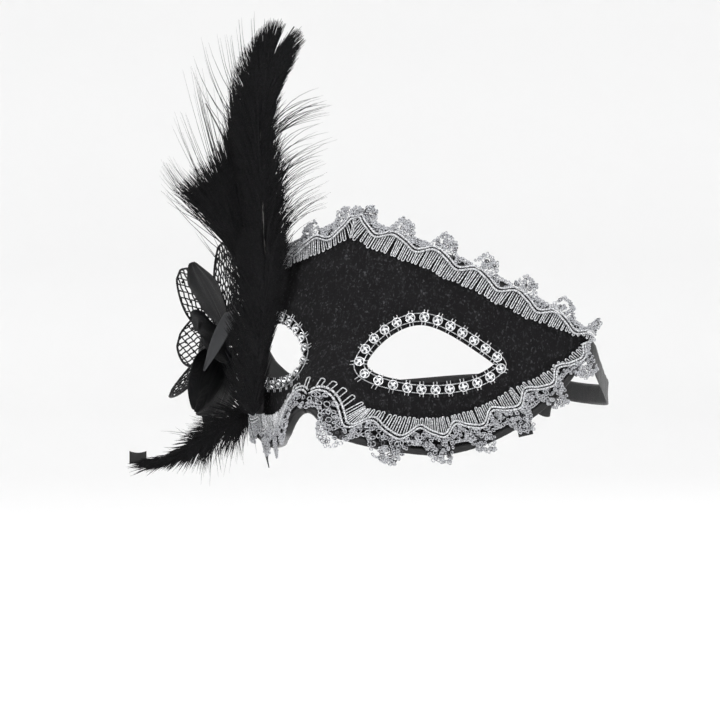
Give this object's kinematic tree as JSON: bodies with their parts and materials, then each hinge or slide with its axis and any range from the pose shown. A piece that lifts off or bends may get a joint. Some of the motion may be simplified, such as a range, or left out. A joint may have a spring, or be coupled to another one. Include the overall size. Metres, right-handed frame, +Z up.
{
  "type": "venetian masquerade mask",
  "caption": "Black velvet venetian half mask with silver braid edge, crystal-ringed eye openings, temple flower of net and satin, tall plume, curled feather and satin head tie.",
  "frame": {"origin": "back of the felt lining at the bridge of the nose, where the mask rests on the face", "axes": "+Z up, the mask faces -Y and the wearer is on the +Y side, +X is the wearer's left"},
  "size_m": [0.2228, 0.2179, 0.2031],
  "materials": {
    "board": "matt moulded board",
    "velvet": "velvet brocade with glitter flecks",
    "felt": "needled felt",
    "satin": "glossy satin weave",
    "grey_satin": "grey satin weave",
    "silver_braid": "metallic thread",
    "rhinestone": "cut crystals in bright cups",
    "hot_glue": "clear set glue",
    "net": "stiff open net with corded edge",
    "feather": "dyed downy barbs",
    "quill": "dyed horny shaft"
  },
  "bodies": {
    "root": {"shell": "board", "velvet_cover": "velvet", "felt_lining": "felt", "edge_binding_top_left": "satin", "edge_binding_bottom_left": "satin", "silver_braid_top_left": "silver_braid", "silver_braid_bottom_left": "silver_braid", "edge_binding_top_right": "satin", "edge_binding_bottom_right": "satin", "silver_braid_top_right": "silver_braid", "silver_braid_bottom_right": "silver_braid", "rhinestone_band_left": "rhinestone", "rhinestone_band_right": "rhinestone", "glue_pad_left": "hot_glue", "tie_ribbon_left": "satin", "tie_patch_left": "felt", "glue_pad_right": "hot_glue", "tie_ribbon_right": "satin", "tie_patch_right": "felt", "tie_knot": "satin", "bow_loop_left": "satin", "bow_tail_left": "satin", "bow_loop_right": "satin", "bow_tail_right": "satin", "flower_base": "felt", "flower_core": "felt", "flower_centre": "satin", "net_petal_1": "net", "net_petal_2": "net", "net_petal_3": "net", "net_petal_4": "net", "satin_petal_1": "satin", "satin_petal_2": "satin", "satin_petal_3": "satin", "satin_petal_4": "satin", "satin_petal_5": "satin", "satin_leaf": "grey_satin", "satin_tail": "grey_satin", "quill_binding": "satin", "quill_pad": "felt"},
    "plume": {"front_quill": "quill", "back_quill": "quill", "front_vane_left": "feather", "front_vane_right": "feather", "back_vane_left": "feather", "back_vane_right": "feather", "plume_down": "feather"},
    "curl": {"curl_quill": "quill", "curl_down": "feather", "curl_flag": "satin"}
  },
  "joints": [
    {"name": "plume_sway", "type": "hinge", "parent": "root", "child": "plume", "pos_m": [-0.05139, 0.01066, -0.01896], "axis": [-0.5299, 0.848, 0], "range_deg": [-8, 3], "stiffness_Nm_per_rad": 0.05},
    {"name": "curl_sway", "type": "hinge", "parent": "root", "child": "curl", "pos_m": [-0.05139, 0.01066, -0.03016], "axis": [-0.5299, 0.848, 0], "range_deg": [-12, 12], "stiffness_Nm_per_rad": 0.02}
  ]
}
